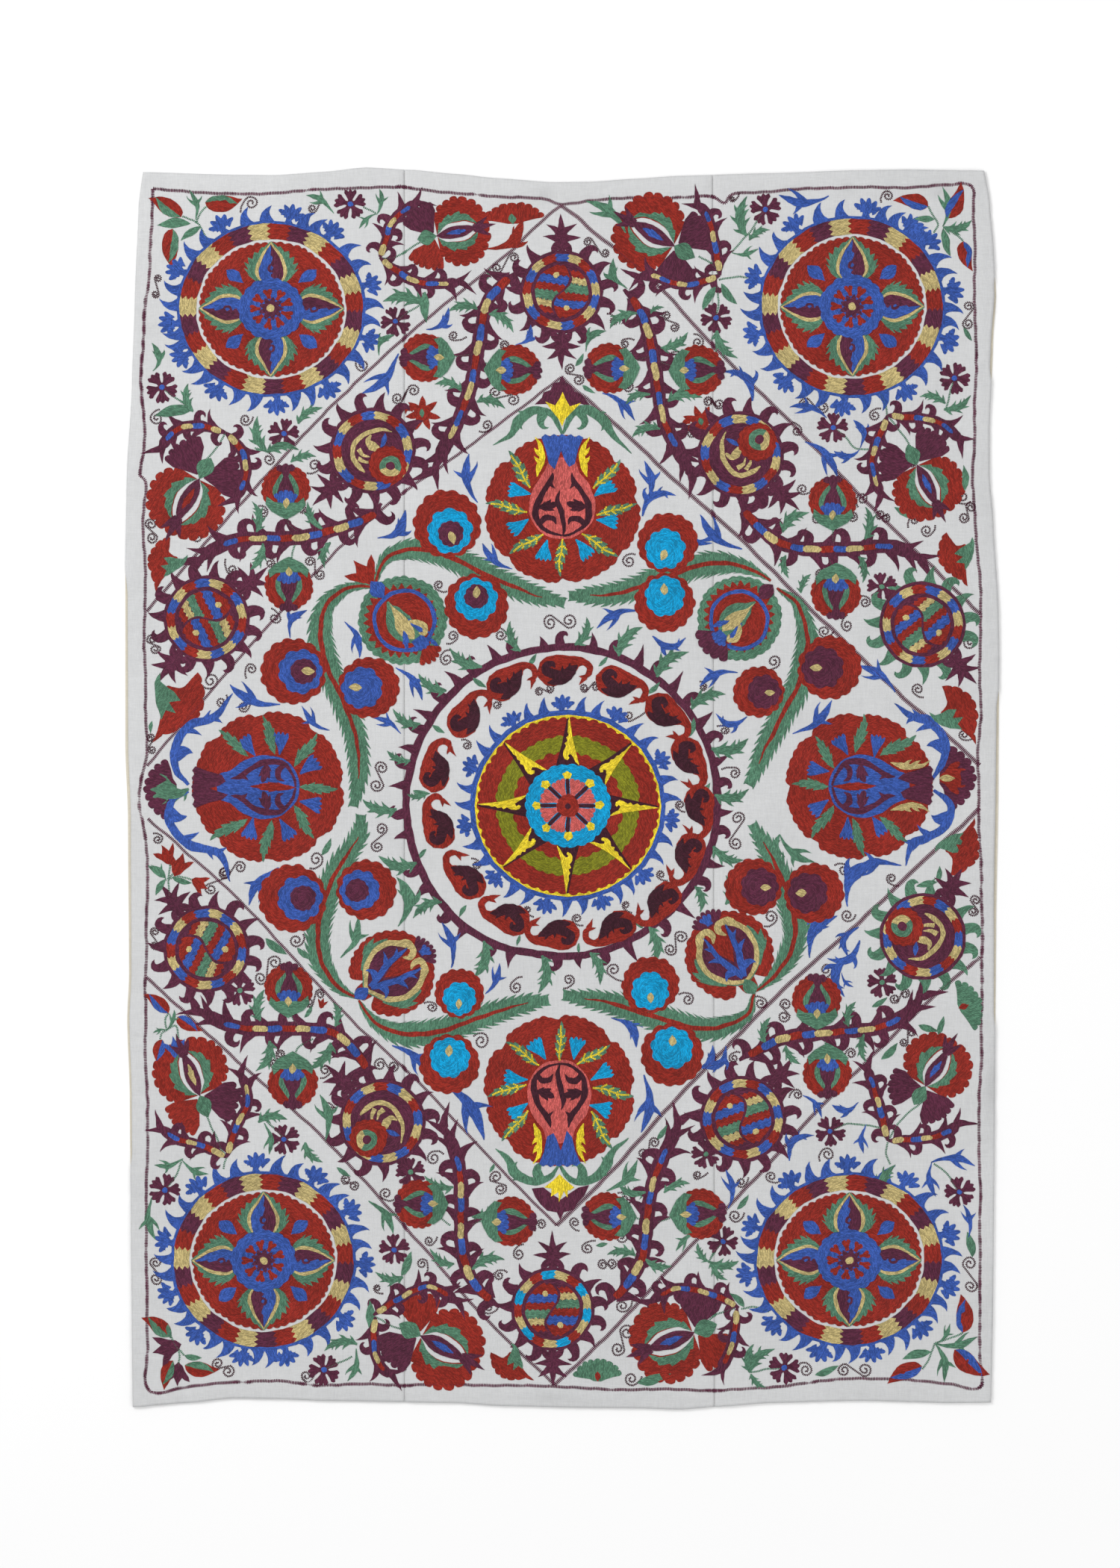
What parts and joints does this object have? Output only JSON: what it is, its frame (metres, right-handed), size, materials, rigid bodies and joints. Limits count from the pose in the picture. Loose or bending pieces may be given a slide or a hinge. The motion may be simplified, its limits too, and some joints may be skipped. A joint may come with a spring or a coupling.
{
  "type": "suzani embroidered textile",
  "caption": "Large embroidered cloth of narrow ground strips sewn side by side over a lining, covered with round blossoms and leaves, lying flat.",
  "frame": {"origin": "middle of the cloth's outline, on the surface that the lining rests on", "axes": "+Z out of the embroidered face, +Y towards the top edge, +X to the right seen from above with the top edge away"},
  "size_m": [1.404, 1.9941, 0.0046],
  "materials": {
    "ground_cloth": "matt hand-woven cotton, off-white and a little grey",
    "lining_cloth": "matt cream cotton",
    "red_silk": "soft twisted silk, low sheen",
    "plum_silk": "soft twisted silk, low sheen",
    "dark_silk": "soft twisted silk, low sheen",
    "blue_silk": "soft twisted silk, low sheen",
    "turquoise_silk": "soft twisted silk, low sheen",
    "green_silk": "soft twisted silk, low sheen",
    "khaki_silk": "soft twisted silk, low sheen",
    "yellow_silk": "soft twisted silk, low sheen",
    "salmon_silk": "soft twisted silk, low sheen",
    "olive_silk": "soft twisted silk, low sheen"
  },
  "bodies": {
    "root": {"panel_left": "ground_cloth", "panel_middle": "ground_cloth", "panel_right": "ground_cloth", "lining": "lining_cloth"}
  },
  "joints": []
}
